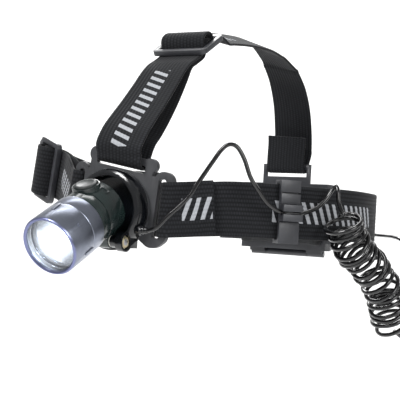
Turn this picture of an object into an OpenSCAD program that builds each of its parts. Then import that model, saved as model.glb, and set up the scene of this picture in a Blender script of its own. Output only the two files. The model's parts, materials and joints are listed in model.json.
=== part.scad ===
// Cap lamp on an elastic headband, as worn: a tilting, focusing lamp on a slotted
// forehead bracket, a strap over the head, and a battery case behind, joined to the
// lamp by a cord with a curly stretch. Millimetres, +Z up, the lamp faces -Y, and
// the origin is the centre of the headband's loop.

/* [Headband] */
// Width of the elastic webbing
strap_w = 25; // [22:0.5:26]
// Thickness of the elastic webbing
strap_t = 1.6; // [1.2:0.1:1.8]
// Width of the loop, ear to ear
loop_w = 172; // [168:1:176]
// Length of the loop, forehead to back of head
loop_l = 172; // [168:1:176]

/* [Lamp] */
// Outer diameter of the bezel
bezel_d = 27; // [26:0.5:28]
// Length of the lamp from rear cap to rim
lamp_l = 42; // [41:0.5:44]
// Tilt of the lamp below level at rest
tilt_rest = 27; // [0:1:60]
// Diameter of the push button
button_d = 11; // [10:0.5:12]

/* [Bracket] */
// Thickness of the forehead bracket
plate_t = 2.5; // [2:0.1:3]
// Outer diameter of the cup behind the lamp
cup_d = 37; // [36.5:0.5:37.5]
// Diameter of the tilt screw
tilt_screw_d = 3; // [2.5:0.1:3.2]

/* [Battery case] */
// Width of the case
case_w = 56; // [55:0.5:60]
// Height of the case
case_h = 40; // [38:0.5:44]
// Depth of the case with its cover
case_d = 17; // [16.5:0.5:20]
// Diameter of a cell
cell_d = 10.5; // [10:0.1:10.5]
// Length of a cell
cell_l = 44.5; // [44:0.1:44.5]

/* [Cord] */
// Diameter of the cord
cord_d = 2; // [1.8:0.1:2.2]
// Outer diameter of the curly stretch
coil_d = 19; // [16:0.5:19.5]

/* [Hidden] */

strap_black = "#26272a";
plate_grey = "#6b6c70";
gloss_black = "#15171a";
housing_green = "#27322f";
satin_metal = "#a9acb8";
frame_grey = "#4d4f54";
brass_tone = "#c9a55a";
foam_black = "#1c1d1f";

loop_a = loop_w / 2;
loop_b = loop_l / 2;

// bracket
plate_y = -loop_b - 4;                   // middle of the bracket's thickness at its centre
plate_r = 95;                            // radius that the bracket is bent to
bar_lean = 8;                            // turn of the left strap on its bar
plate_roll = 5;                          // turn of the bracket on its cup, as worn
top_roll = 5;                            // further turn of the frame for the top strap
boss_y = plate_y - plate_t / 2 - 0.3;    // flat face that the cup sits on
slot_h = 26.8;                           // length of a strap slot
slot_in = 20.5;                          // side slot, inner edge
slot_out = 24;                           // side slot, outer edge
bar_w = 3.2;                             // width of a strap bar
bar_x = slot_out + bar_w / 2;
bar_y = plate_y + plate_r - sqrt(plate_r * plate_r - bar_x * bar_x);
top_slot_z = 16;
top_bar_z = 20.9;
loop_r = 3.25;                           // radius of the strap's middle round a bar
function rolled(x, z) = [x * cos(plate_roll) + z * sin(plate_roll),
                         z * cos(plate_roll) - x * sin(plate_roll)];
right_bar = [rolled(bar_x, 0)[0], bar_y, rolled(bar_x, 0)[1]];
left_bar = [rolled(-bar_x, 0)[0], bar_y, rolled(-bar_x, 0)[1]];
top_bar = [rolled(0, top_bar_z)[0], plate_y + 0.4, rolled(0, top_bar_z)[1]];

// cup and lamp
axis_z = -3.4;                           // height of the lamp's axis when level
cup_r = cup_d / 2;
cup_floor_y = boss_y - 1.6;
cup_rim_y = boss_y - 7.8;
pin_y = boss_y - 9.05;
pin_z = axis_z - 14.2;
lamp_y = pin_y + 7.1;                    // rear of the lamp when level
gland_r = 2.2;
relief_l = 4.6;                          // length of a strain relief past its flange
ear_in = 6.4;
ear_mid = 10.4;                          // where an ear widens round the screw's end
ear_out = 11.6;                          // floor of the recess for the screw's end
ear_end = 13.8;
ear_r = 2.75;
washer_t = 0.5;
knuckle_x = ear_in - washer_t - 0.1;
bezel_r = bezel_d / 2;
house_r = bezel_r - 0.6;
nose_r = house_r - 1.6;                  // nose of the housing inside the bezel
lens_r = bezel_r - 1.3;
seam_rear = 2;                           // rear cap to housing
seam_house = 19.4;                       // housing to focus ring
seam_ring = lamp_l - 14.7;               // focus ring to bezel
button_s = 8.5;                         // middle of the button, from the rear

// rear case
case_y = loop_b + 4.2;                   // back face of the tray, against the pad
tray_d = 8;
split_y = case_y + tray_d;
rear_top_y = case_y + 1.2;
rear_top_z = 30;
wall = 2;
hinge_y = split_y;
hinge_z = -case_h / 2 - 2;
rear_bar_x = 36;
rear_bar_y = 80.5;
cell_pitch = cell_d + 1;
cell_y = case_y + wall + 0.3 + cell_d / 2;
cell_x0 = -21.5;                         // negative end of a cell

// adjusters
frame_w = 31;
frame_l = 22;
frame_t = 2.6;
frame_bar = 3;
top_adj = [0.5, -35, 82.3];
top_adj_slope = 31;
left_adj = [-61, -64.6, 15.4];
left_adj_turn = 151.6;
left_adj_rise = 14.5;
adj_under = -(frame_t / 2 + strap_t / 2 + 0.25);
adj_layer = strap_t + 0.15;              // step from one layer of webbing to the next

// clip on the side strap
clip_turn = -37.5;
clip_w = 9;
clip_cord_x = 5.4;                       // cord's middle, out from the strap's middle
crown_lean = 22;                         // slope of the top strap across the crown

// Cord from the lamp to the clip, and on to the curly stretch
lead_route = [
    [22.1, -96.4, -12], [26.5, -96.4, -10.4], [31, -94.5, -5], [38, -90.5, 3.3],
    [42.1, -87.5, 11.6], [46.8, -85, 20.3], [49.9, -83, 25.9], [52.8, -81.3, 28.3],
    [55.8, -79.5, 27.1], [58.6, -77.5, 21.8], [61, -75.5, 14.2], [63.8, -72.5, 8.7],
    [66, -67, 3.2], [69.47, -59.61, -0.5], [72.51, -55.64, -0.5], [75.55, -51.67, -0.5],
    [79.8, -44.8, 2.4], [82.3, -40.2, 6.5], [84.2, -37.6, 11], [86, -37, 13.4], [87.4, -38, 11],
    [88.6, -39, 5.5], [91.3, -39.7, 0.3]
];
// Middle of the curly stretch
coil_route = [
    [91.3, -39.7, 0.3], [91.3, -37.4, -5.5], [92.4, -31.8, -12.5], [93.8, -26, -17.3],
    [95.8, -19.3, -21.7], [97.8, -11.5, -27.1], [100, -6, -34.2], [100.8, -1, -41.5],
    [101, 4, -48.9], [102, 10, -55.5]
];
// Cord from the curly stretch to the battery case
tail_route = [
    [102, 10, -55.5], [104.5, 16, -58.5], [107, 23, -55.5], [107, 28.5, -45], [103.5, 30.5, -30],
    [99.5, 31, -17.5], [94.8, 34.5, -10.8], [87, 44, -9], [78.5, 55, -8.7], [68.5, 67, -8.5],
    [57, 79.5, -8], [47, 89.5, -7.3], [41, 94.3, -7], [37, 95.2, -7], [32.6, 95.2, -7]
];
tail_end = tail_route[len(tail_route) - 1];

// Middle line of the left strap from the adjuster round to the case
left_run = [
    [-76.4, -52.5, 19.2], [-78.6, -44.5, 18.4], [-82.4, -29, 16.5], [-85, -10, 13.5], [-84, 10, 10.5], [-78.5, 30, 7.5],
    [-69.5, 48, 4.5], [-58.5, 61, 2], [-48.5, 70, 0.5]
];
// Middle line of the top strap, in front of and behind the adjuster
top_front = [
    [1.7, -93.1, 26.3], [1.5, -88.4, 33.5], [1.3, -82, 40], [1.2, -75, 46.8], [1, -66, 56],
    [0.8, -57.8, 64.8], [0.5, -52, 69.6]
];
top_back = [
    [0.8, -13, 89.4], [1.2, 4, 92.2], [1.5, 21, 94.2], [1.6, 38, 95.2], [1.6, 54, 94],
    [1.4, 69, 89], [1.2, 81.5, 79.5], [1, 90.5, 66.5], [0.6, 95.8, 51], [0.2, 98, 38]
];

// ---------- helpers ----------

function unit(v) = v / norm(v);
function tangent(p, i) = unit(p[min(i + 1, len(p) - 1)] - p[max(i - 1, 0)]);
function loop_pt(turn, out = 0) =
    [loop_a * cos(turn), loop_b * sin(turn), 0] + out * loop_n(turn);
function loop_n(turn) = unit([cos(turn) / loop_a, sin(turn) / loop_b, 0]);
function arc_xy(c, r, from, to, n) =
    [for (i = [0:n]) let (t = from + (to - from) * i / n) c + r * [cos(t), sin(t), 0]];
function arc_yz(c, r, from, to, n) =
    [for (i = [0:n]) let (t = from + (to - from) * i / n) c + r * [0, cos(t), sin(t)]];
function reversed(p) = [for (i = [len(p) - 1:-1:0]) p[i]];

// a smooth curve through the points, with n steps between each pair
function between(a, b, c, d, t) =
    0.5 * (2 * b + (c - a) * t + (2 * a - 5 * b + 4 * c - d) * t * t
           + (3 * b - a - 3 * c + d) * t * t * t);
function smooth(p, n) = concat(
    [for (i = [0:len(p) - 2], k = [0:n - 1])
        between(p[max(i - 1, 0)], p[i], p[i + 1], p[min(i + 2, len(p) - 1)], k / n)],
    [p[len(p) - 1]]);

// An adjuster's own frame: along the strap, across it, and out from the head
function frame_along(turn, rise) = [cos(rise) * cos(turn), cos(rise) * sin(turn), sin(rise)];
top_frame = [frame_along(90, top_adj_slope), [1, 0, 0],
             cross(frame_along(90, top_adj_slope), [1, 0, 0]) * -1];
left_out = [cos(left_adj_turn + 90), sin(left_adj_turn + 90), 0];
left_frame = [frame_along(left_adj_turn, left_adj_rise),
              cross(left_out, frame_along(left_adj_turn, left_adj_rise)), left_out];
function placed(pts, pos, f) = [for (q = pts) pos + q[0] * f[0] + q[1] * f[2]];

// faces of a skin through rings of k points each
function skin_faces(rings, k) = concat(
    [[for (j = [0:k - 1]) j]],
    [for (i = [0:rings - 2], j = [0:k - 1]) each [
        [i * k + j, (i + 1) * k + j, (i + 1) * k + (j + 1) % k],
        [i * k + j, (i + 1) * k + (j + 1) % k, i * k + (j + 1) % k]]],
    [[for (j = [k - 1:-1:0]) (rings - 1) * k + j]]);

// points of a strap, each with the way that its width runs
function wide(p, u, v) =
    [for (i = [0:len(p) - 1]) [p[i], u + (v - u) * i / max(1, len(p) - 1)]];

// flat webbing along a line of such points
module ribbon(line) {
    p = [for (q = line) q[0]];
    pts = [
        for (i = [0:len(p) - 1])
            let (t = tangent(p, i), n = unit(cross(t, line[i][1])), b = unit(cross(n, t)))
            each [
                p[i] + n * strap_t / 2 + b * strap_w / 2, p[i] + n * strap_t / 2 - b * strap_w / 2,
                p[i] - n * strap_t / 2 - b * strap_w / 2, p[i] - n * strap_t / 2 + b * strap_w / 2
            ]
    ];
    polyhedron(pts, skin_faces(len(p), 4), convexity = 8);
}

// frames along a path that don't twist
function carried(p, i, n) =
    let (t = tangent(p, i), m = unit(n - (n * t) * t))
    i == len(p) - 1 ? [m] : concat([m], carried(p, i + 1, m));

module tube(p, r, sides, start = [0.1, 0.2, 1]) {
    n = carried(p, 0, start);
    pts = [
        for (i = [0:len(p) - 1], j = [0:sides - 1])
            let (b = cross(tangent(p, i), n[i]), a = 360 * j / sides)
            p[i] + r * (cos(a) * n[i] + sin(a) * b)
    ];
    polyhedron(pts, skin_faces(len(p), sides), convexity = 8);
}

module rounded(w, h, r) {
    square([w - 2 * r, h], center = true);
    square([w, h - 2 * r], center = true);
    for (x = [-1, 1], y = [-1, 1])
        translate([x * (w / 2 - r), y * (h / 2 - r)]) circle(r, $fn = 48);
}

// local +Z runs forwards along the lamp's axis, from its rear face
module on_axis() {
    translate([0, pin_y, pin_z]) rotate([tilt_rest, 0, 0]) translate([0, -pin_y, -pin_z])
        translate([0, lamp_y, axis_z]) rotate([90, 0, 0]) children();
}

module ring(r_out, r_in, from, to) {
    translate([0, 0, from]) difference() {
        cylinder(r = r_out, h = to - from, $fn = 96);
        translate([0, 0, -1]) cylinder(r = r_in, h = to - from + 2, $fn = 96);
    }
}

module along_x(r, from, to, y, z, n = 48) {
    translate([from, y, z]) rotate([0, 90, 0]) cylinder(r = r, h = to - from, $fn = n);
}

// profile of a strain relief: a spigot from a to b, a flange, then three ribs
module relief_profile(a, b) {
    polygon([[0, a], [gland_r - 0.7, a], [gland_r - 0.7, b], [gland_r, b], [gland_r, b + 1.1],
             [1.8, b + 1.4], [1.5, b + 1.6], [1.5, b + 2], [1.75, b + 2.2], [1.65, b + 2.7],
             [1.4, b + 2.9], [1.4, b + 3.3], [1.55, b + 3.5], [1.45, b + 4], [1.2, b + relief_l],
             [0, b + relief_l]]);
}

// ---------- bracket ----------

// Frame for the top strap, in its own place
module top_frame_outline(grow) {
    translate([0, top_slot_z + 1.7]) rotate(-top_roll) translate([0, -top_slot_z - 1.7]) {
        if (grow) {
            translate([0, 16.2]) rounded(34.5, 12.8, 3.2);
            for (s = [-1, 1])
                translate([s * 15.2, 20]) circle(3.4, $fn = 48);
        } else {
            translate([0, top_slot_z + 1.7]) rounded(slot_h, 3.4, 1.2);
        }
    }
}

module plate_outline() {
    rotate(-plate_roll) difference() {
        union() {
            for (s = [-1, 1]) {
                translate([s * 20.5, -1.2]) rounded(2 * (bar_x + bar_w / 2 - 20.5), 31, 4.5);
                translate([s * 20.8, -12.4]) circle(5.7, $fn = 48);
                translate([s * 22.8, 12.4]) circle(4.5, $fn = 48);
            }
            top_frame_outline(true);
            translate([0, -2]) circle(19, $fn = 96);
        }
        for (s = [-1, 1])
            translate([s * (slot_in + slot_out) / 2, 0]) rounded(slot_out - slot_in, slot_h, 1.2);
        top_frame_outline(false);
    }
}

module front_plate() {
    color(plate_grey) difference() {
        union() {
            intersection() {
                translate([0, plate_y + 20, 0]) rotate([90, 0, 0])
                    linear_extrude(40) plate_outline();
                translate([0, plate_y + plate_r, -40]) difference() {
                    cylinder(r = plate_r + plate_t / 2, h = 80, $fn = 180);
                    translate([0, 0, -1]) cylinder(r = plate_r - plate_t / 2, h = 82, $fn = 180);
                }
            }
            translate([0, plate_y, axis_z]) rotate([90, 0, 0])
                cylinder(r = cup_r, h = plate_y - boss_y, $fn = 96);
        }
        at_cup_screws() {
            translate([0, 0, -10]) cylinder(d = 2.1, h = 20, $fn = 32);
            translate([0, 0, -10]) cylinder(d = 4.2, h = 10, $fn = 32);
        }
    }
}

// the three screws' places: local Z runs forwards from under the head
module at_cup_screws() {
    for (a = [90, 210, 330])
        translate([11 * cos(a), plate_y - 0.2, axis_z + 11 * sin(a)]) rotate([90, 0, 0]) children();
}

module forehead_pad() {
    color(foam_black) linear_extrude(31, center = true) difference() {
        intersection() {
            translate([0, plate_y + plate_r]) circle(plate_r - plate_t / 2 - 0.4, $fn = 180);
            translate([-19.5, -loop_b - 6]) square([39, 20]);
        }
        translate([0, -loop_b + 1.6 + 95]) circle(95, $fn = 180);
    }
}

// Round cup that the rear of the lamp nests in, with two ears for the tilt screw
module lamp_cup() {
    arm_h = ear_r + 2.4 - 0.35;
    color(gloss_black) difference() {
        union() {
            translate([0, boss_y, axis_z]) rotate([90, 0, 0]) rotate_extrude($fn = 96)
                polygon([[0, 0], [cup_r, 0], [cup_r, 5.6], [cup_r - 0.7, 7.1], [cup_r - 2, 7.8],
                         [cup_r - 3, 7.8], [cup_r - 3, 2.8], [cup_r - 3.8, 1.6], [0, 1.6]]);
            for (s = [-1, 1]) {
                along_x(ear_r, s > 0 ? ear_in : -ear_mid, s > 0 ? ear_mid : -ear_in, pin_y, pin_z);
                along_x(4.4, s > 0 ? ear_mid : -ear_end, s > 0 ? ear_end : -ear_mid, pin_y, pin_z);
                translate([s > 0 ? ear_in : -ear_end, pin_y, pin_z - ear_r])
                    cube([ear_end - ear_in, boss_y - pin_y, arm_h]);
            }
        }
        // opening that the knuckle swings in
        translate([-ear_in, cup_rim_y - 10, pin_z - 6])
            cube([2 * ear_in, cup_floor_y - cup_rim_y + 10, 16]);
        along_x(gland_r - 0.65, 8, 30, lead_route[0][1], lead_route[0][2]);
        along_x(tilt_screw_d / 2 + 0.05, -20, 20, pin_y, pin_z);
        for (s = [-1, 1])
            along_x(3.3, s > 0 ? ear_out : -20, s > 0 ? 20 : -ear_out, pin_y, pin_z);
        at_cup_screws() cylinder(d = 2.1, h = 2.6, $fn = 32);
    }
}

// Screws from behind the bracket, with their heads sunk in it
module cup_screws() {
    color("silver") at_cup_screws() difference() {
        union() {
            cylinder(d = 2, h = 2.5, $fn = 32);
            translate([0, 0, -1.1]) cylinder(d = 3.8, h = 1.1, $fn = 32);
        }
        for (t = [0, 90]) rotate([0, 0, t])
            translate([-1, -0.2, -2]) cube([2, 0.4, 1.4]);
    }
}

// Strain relief where the cord leaves the cup's lower side
module front_gland() {
    exit = lead_route[0];
    color(gloss_black) translate([0, exit[1], exit[2]]) rotate([0, 90, 0])
        rotate_extrude($fn = 48) relief_profile(13.2, exit[0] - relief_l);
}

module tilt_screw() {
    color("silver") difference() {
        union() {
            along_x(tilt_screw_d / 2, -ear_out, ear_out + 2, pin_y, pin_z);
            along_x(2.9, -ear_out - 1.8, -ear_out, pin_y, pin_z);
        }
        translate([-ear_out - 2, pin_y - 2.2, pin_z - 0.35]) cube([1, 4.4, 0.7]);
    }
}

module tilt_nut() {
    color(brass_tone) difference() {
        union() {
            along_x(3, ear_out, ear_out + 1.4, pin_y, pin_z, 6);
            along_x(2.4, ear_out + 1.4, ear_out + 1.9, pin_y, pin_z);
        }
        along_x(tilt_screw_d / 2, 0, 30, pin_y, pin_z);
    }
}

module friction_washers() {
    color("white") for (s = [-1, 1]) difference() {
        along_x(2.6, s > 0 ? ear_in - washer_t : -ear_in, s > 0 ? ear_in : washer_t - ear_in,
                pin_y, pin_z);
        along_x(tilt_screw_d / 2 + 0.05, -20, 20, pin_y, pin_z);
    }
}

// ---------- lamp ----------

module rear_cap() {
    color(housing_green) on_axis() {
        rotate_extrude($fn = 96)
            polygon([[0, 0], [house_r - 3.4, 0], [house_r - 1.6, 0.5], [house_r - 0.5, 1.3],
                     [house_r - 0.4, seam_rear - 0.2], [nose_r - 0.4, seam_rear - 0.2],
                     [nose_r - 0.4, seam_rear + 2.6], [nose_r - 1.8, seam_rear + 2.6],
                     [nose_r - 1.8, 1.6], [0, 1.6]]);
    }
}

module lamp_housing() {
    color(housing_green) on_axis() difference() {
        union() {
            rotate_extrude($fn = 96)
                polygon([[nose_r - 0.3, seam_rear], [house_r, seam_rear],
                         [house_r, 13.2], [house_r - 0.35, 13.3], [house_r - 0.35, 13.7],
                         [house_r, 13.8], [house_r, seam_house - 0.3],
                         [nose_r, seam_house - 0.3], [nose_r, 30.6], [nose_r - 0.45, 30.6],
                         [nose_r - 0.45, 31.4], [nose_r, 31.4], [nose_r, 33],
                         [nose_r - 1.5, 33], [nose_r - 1.5, 17.8], [nose_r - 0.3, 16.8]]);
            // boss under the push button
            at_button() translate([0, 0, nose_r + 0.2])
                cylinder(r = button_d / 2 + 0.8, h = house_r - nose_r + 0.7, $fn = 64);
            // knuckle for the tilt screw and its neck
            translate([-knuckle_x, pin_z - axis_z, lamp_y - pin_y]) rotate([0, 90, 0])
                cylinder(r = 3.2, h = 2 * knuckle_x, $fn = 48);
            translate([-knuckle_x, pin_z - axis_z, seam_rear + 0.1])
                cube([2 * knuckle_x, 4, lamp_y - pin_y - seam_rear + 3]);
            // raised hook mark beside the button
            rotate([0, 0, -36]) {
                translate([-2.2, house_r - 0.5, 4.8]) cube([0.7, 0.8, 6]);
                translate([-2.2, house_r - 0.5, 4.8]) cube([4.2, 0.8, 0.7]);
                translate([1.4, house_r - 0.5, 4.8]) cube([0.7, 0.8, 2.4]);
            }
        }
        translate([0, 0, 1]) cylinder(r = nose_r - 0.3, h = 15.8, $fn = 96);
        // well that the button works in
        at_button() translate([0, 0, 5]) cylinder(r = button_d / 2 - 1, h = 20, $fn = 64);
        at_button() translate([0, 0, house_r - 0.6])
            cylinder(r = button_d / 2 + 0.15, h = 20, $fn = 64);
        // bore for the tilt screw
        translate([-20, pin_z - axis_z, lamp_y - pin_y]) rotate([0, 90, 0])
            cylinder(d = tilt_screw_d + 0.1, h = 40, $fn = 48);
    }
}

// local +Z runs up through the middle of the button
module at_button() {
    translate([0, 0, button_s]) rotate([-90, 0, 0]) children();
}

module driver_board() {
    color("darkgreen") on_axis() difference() {
        translate([0, 0, 15.3]) cylinder(r = nose_r - 0.6, h = 1.2, $fn = 96);
        translate([-4.2, 4, 14]) cube([8.4, 10, 4]);
    }
}

module switch_module() {
    color("dimgray") on_axis() at_button() {
        translate([-3.5, -3.5, 3.2]) cube([7, 7, 3.6]);
        translate([0, 0, 6.8]) cylinder(r = 1.6, h = 1.7, $fn = 48);
    }
}

// Rubber cap: a stem over the switch, a disc in the well and a low domed top
module switch_cap() {
    color("#1a2422") on_axis() at_button() rotate_extrude($fn = 64)
        polygon([[0, 9.4], [1.8, 9.4], [1.8, house_r - 0.5 + 0.9],
                 [button_d / 2 - 0.15, house_r + 0.4], [button_d / 2 - 0.15, house_r + 1.3],
                 [button_d / 2 - 0.6, house_r + 1.7], [button_d / 2 - 1.6, house_r + 1.85],
                 [button_d / 2 - 2, house_r + 1.65], [0, house_r + 1.8]]);
}

module heat_sink() {
    color("silver") on_axis() difference() {
        union() {
            ring(nose_r - 1.6, 6, 21, 27);
            translate([0, 0, 24.6]) cylinder(r = 6.1, h = 2.4, $fn = 64);
        }
        for (a = [0:45:315]) rotate([0, 0, a]) translate([7.4, -0.5, 20]) cube([6, 1, 4.4]);
    }
}

module led_board() {
    color("white") on_axis() difference() {
        translate([0, 0, 27]) cylinder(r = nose_r - 1.9, h = 1.2, $fn = 64);
        for (s = [-1, 1]) translate([s * 7, 0, 26]) cylinder(r = 1, h = 3, $fn = 24);
    }
}

module led_emitter() {
    color("#ffe9a8") on_axis() {
        translate([-1.75, -1.75, 28.2]) cube([3.5, 3.5, 0.8]);
        translate([0, 0, 29]) intersection() {
            sphere(r = 1.6, $fn = 48);
            translate([-2, -2, 0]) cube([4, 4, 4]);
        }
    }
}

module sleeve_oring() {
    color("black") on_axis() translate([0, 0, 31]) rotate_extrude($fn = 96)
        translate([nose_r - 0.1, 0]) circle(0.34, $fn = 24);
}

module reflector() {
    function bowl(z) = sqrt((z - 28.4) * 13.6);
    zs = [for (i = [0:12]) 29.6 + (lamp_l - 3.9 - 29.6) * i / 12];
    color("gainsboro") on_axis() rotate_extrude($fn = 96)
        polygon(concat([for (z = zs) [bowl(z), z]],
                       [[lens_r, lamp_l - 3.9], [lens_r, lamp_l - 4.6]],
                       [for (i = [11:-1:0]) [bowl(zs[i]) + 0.7, zs[i] - 0.2]]));
}

module lens_gasket() {
    color("black") on_axis() ring(lens_r, lens_r - 0.6, lamp_l - 3.85, lamp_l - 3.2);
}

module lens() {
    color("white", 0.6) on_axis() translate([0, 0, lamp_l - 3.15]) rotate_extrude($fn = 96)
        polygon([[0, 0], [lens_r, 0], [lens_r, 1.35], [lens_r - 0.6, 1.5], [0, 2.2]]);
}

module bezel() {
    color(satin_metal) on_axis() union() {
        rotate_extrude($fn = 96)
            polygon([[nose_r + 0.4, seam_ring + 0.1], [bezel_r - 0.2, seam_ring + 0.1],
                     [bezel_r, seam_ring + 0.4], [bezel_r, lamp_l - 0.9],
                     [bezel_r - 0.4, lamp_l - 0.15], [bezel_r - 0.8, lamp_l],
                     [bezel_r - 1.1, lamp_l - 0.1], [lens_r - 0.4, lamp_l - 0.7],
                     [lens_r - 0.4, lamp_l - 1.2], [lens_r + 0.3, lamp_l - 1.3],
                     [lens_r + 0.3, lamp_l - 5.2], [nose_r + 0.4, lamp_l - 6]]);
        // grip ribs
        for (i = [0:5]) rotate([0, 0, 60 * i]) {
            translate([-0.85, bezel_r - 0.6, seam_ring + 1.6]) cube([1.7, 1.1, 4.4]);
            for (z = [1.6, 6]) translate([0, bezel_r - 0.6, seam_ring + z]) rotate([-90, 0, 0])
                cylinder(r = 0.85, h = 1.1, $fn = 24);
        }
    }
}

module focus_ring() {
    color(satin_metal) on_axis() rotate_extrude($fn = 96)
        polygon([[nose_r + 0.4, seam_house], [bezel_r - 0.35, seam_house],
                 [bezel_r - 0.15, seam_house + 0.3], [bezel_r - 0.15, seam_ring - 0.3],
                 [bezel_r - 0.4, seam_ring + 0.1], [nose_r + 0.4, seam_ring + 0.1]]);
}

// ---------- straps ----------

// webbing through an adjuster, as [along, out]: under one end bar, over the middle
// bar and under the other end bar
humped = [
    [-15.5, adj_under], [-8.6, adj_under], [-6.8, adj_under + 0.85], [-5.6, adj_under + 2.6],
    [-4.9, 3], [-3.4, 5], [-1, 5.7], [1, 5.7], [3.4, 5], [4.9, 3],
    [5.6, adj_under + 2.6], [6.8, adj_under + 0.85], [8.6, adj_under], [15.5, adj_under]
];
// the layer that is sewn round the middle bar, below the other
sewn = [
    [-15.5, adj_under - adj_layer], [-8.6, adj_under - adj_layer], [-6.2, -3.4], [-4.4, -1.8],
    [-3.3, 0], [-2.6, 1.3], [-1.4, 2.2], [0, 2.35], [1.4, 2.2], [2.6, 1.3], [3, 0], [3, -1.8]
];

module side_strap() {
    up = [0, 0, 1];
    worn = [sin(plate_roll), 0, cos(plate_roll)];
    rear = [rear_bar_x, rear_bar_y, 0];
    line = concat(
        wide([loop_pt(-60, 2.4), loop_pt(-63, 2.5) - [0, 0, 0.5], loop_pt(-66, 3) - [0, 0, 1.2]],
             up, worn),
        wide(arc_xy(right_bar, loop_r, -54, -234, 9), worn, worn),
        wide([for (t = [-65:4:-57]) loop_pt(t) - [0, 0, 1.2 - (t + 65) / 8]], worn, up),
        wide([for (t = [-53:4:51]) loop_pt(t)], up, up),
        wide(arc_xy(rear, loop_r, 58, 238, 9), up, up),
        wide([loop_pt(55, -2.4), loop_pt(51, -2.2), loop_pt(47, -2.1)], up, up));
    color(strap_black) ribbon(line);
}

function part_way(a, b, t, lift) = a + (b - a) * t + [0, 0, lift];

module left_strap() {
    up = [0, 0, 1];
    leant = -left_frame[1];
    inner = placed(sewn, left_adj, left_frame);
    outer = placed(humped, left_adj, left_frame);
    bend = [for (q = arc_xy([0, 0, 0], loop_r, 63, -117, 9))
        left_bar + [q[0] * cos(bar_lean), q[1], -q[0] * sin(bar_lean)]];
    worn = [sin(bar_lean), 0, cos(bar_lean)];
    line = concat(
        wide(reversed(inner), leant, leant),
        wide([part_way(inner[0], bend[0], 0.36, 0.5), part_way(inner[0], bend[0], 0.7, -0.6)],
             leant * 0.7 + worn * 0.3, leant * 0.3 + worn * 0.7),
        wide(bend, worn, worn),
        wide([part_way(bend[9], outer[0], 0.3, -0.6), part_way(bend[9], outer[0], 0.64, 0.5)],
             leant * 0.3 + worn * 0.7, leant * 0.7 + worn * 0.3),
        wide(outer, leant, leant),
        wide(smooth(left_run, 3), leant * 0.6 + up * 0.4, up),
        wide(arc_xy([-rear_bar_x, rear_bar_y, 0], loop_r, 122, -58, 9), up, up),
        wide([[-39.5, 72.5, 0], [-45, 68, 0.4], [-50, 63.4, 0.8]], up, up));
    color(strap_black) ribbon(line);
}

module top_strap() {
    across = [1, 0, 0];
    front = [cos(plate_roll + top_roll), 0, -sin(plate_roll + top_roll)];
    crown = [cos(crown_lean), 0, -sin(crown_lean)];
    last = len(top_front) - 1;
    line = concat(
        wide(reversed(placed(sewn, top_adj, top_frame)), across, across),
        wide([for (i = [last:-1:1]) top_front[i] - slack(i) * front_out(i)], across, front),
        wide(arc_yz(top_bar, loop_r, -10, -190, 9), front, front),
        wide(top_front, front, across),
        wide(placed(humped, top_adj, top_frame), across, across),
        wide(smooth([for (i = [0:4]) top_back[i]], 3), across * 0.3 + crown * 0.7, crown),
        wide(smooth([for (i = [5:9]) top_back[i]], 3), crown * 0.8 + across * 0.2, across),
        wide(arc_yz([0, rear_top_y, rear_top_z], loop_r, 0, -180, 9), across, across),
        wide([[0, rear_top_y - 3.2, 37], [0.3, rear_top_y - 3.4, 43], [0.6, rear_top_y - 4.4, 48]],
             across, across));
    color(strap_black) ribbon(line);
}
function front_out(i) = unit(cross([1, 0, 0], tangent(top_front, i)));
// the inner layer hangs away from the outer one in the middle of its run
function slack(i) = adj_layer + 6.5 * cos(20 * (i - 1.7));

// Frame with three bars that the webbing threads through
module tri_glide() {
    difference() {
        translate([0, 0, -frame_t / 2]) linear_extrude(frame_t) difference() {
            rounded(frame_l, frame_w, 3);
            for (s = [-1, 1])
                translate([s * (frame_l / 2 - frame_bar + 1.5) / 2, 0])
                    square([frame_l / 2 - frame_bar - 1.5, strap_w + 1], center = true);
        }
        // middle bar is thinner than the rim
        for (s = [-1, 1])
            translate([-2, -strap_w / 2 - 0.5, s > 0 ? 1 : -2.5]) cube([4, strap_w + 1, 1.5]);
    }
}

module in_frame(pos, f) {
    multmatrix([for (k = [0:2]) [f[0][k], f[1][k], f[2][k], pos[k]]]) children();
}

module left_adjuster() {
    color(frame_grey) in_frame(left_adj, left_frame) tri_glide();
}

module top_adjuster() {
    color(frame_grey) in_frame(top_adj, top_frame) tri_glide();
}

// local X runs out from the side strap, local Y along it
module at_clip() {
    p = loop_pt(clip_turn);
    n = loop_n(clip_turn);
    translate(p) rotate([0, 0, atan2(n[1], n[0])]) children();
}

// Keeper round the side strap, with a dovetail foot for the cord clamp
module strap_clip() {
    top = strap_w / 2 + 0.4;
    color(frame_grey) at_clip() difference() {
        union() {
            translate([-2.9, -clip_w / 2, -top - 1.6]) cube([5.9, clip_w, 2 * top + 3.2]);
            translate([3, -clip_w / 2 - 0.6, 9]) cube([1.2, clip_w + 1.2, 5.5]);
            translate([3, -clip_w / 2 - 0.4, 3.6]) cube([1.6, clip_w + 0.8, 4.6]);
            translate([3, -clip_w / 2 - 0.6, -14.5]) cube([1.2, clip_w + 1.2, 10]);
        }
        translate([-1.3, -clip_w / 2 - 1, -top]) cube([2.6, clip_w + 2, 2 * top]);
    }
}

// Snap clamp that grips the cord
module cord_clamp() {
    color(frame_grey) at_clip() difference() {
        translate([3, -clip_w / 2 - 0.5, -4.3]) cube([4.6, clip_w + 1, 7.6]);
        translate([clip_cord_x, -clip_w, -0.5]) rotate([-90, 0, 0])
            cylinder(d = cord_d + 0.3, h = 2 * clip_w, $fn = 32);
        translate([clip_cord_x, -clip_w, -1.1]) cube([4, 2 * clip_w, 1.2]);
    }
}

// ---------- cord ----------

module cord_lead() {
    color(gloss_black) tube(smooth(lead_route, 1), cord_d / 2, 8);
}

module cord_coil() {
    color(gloss_black) tube(smooth(coil_route, 2), coil_d / 2, 12, [1, 0, 0.1]);
}

module cord_tail() {
    color(gloss_black) tube(smooth(tail_route, 1), cord_d / 2, 8);
}

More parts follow.
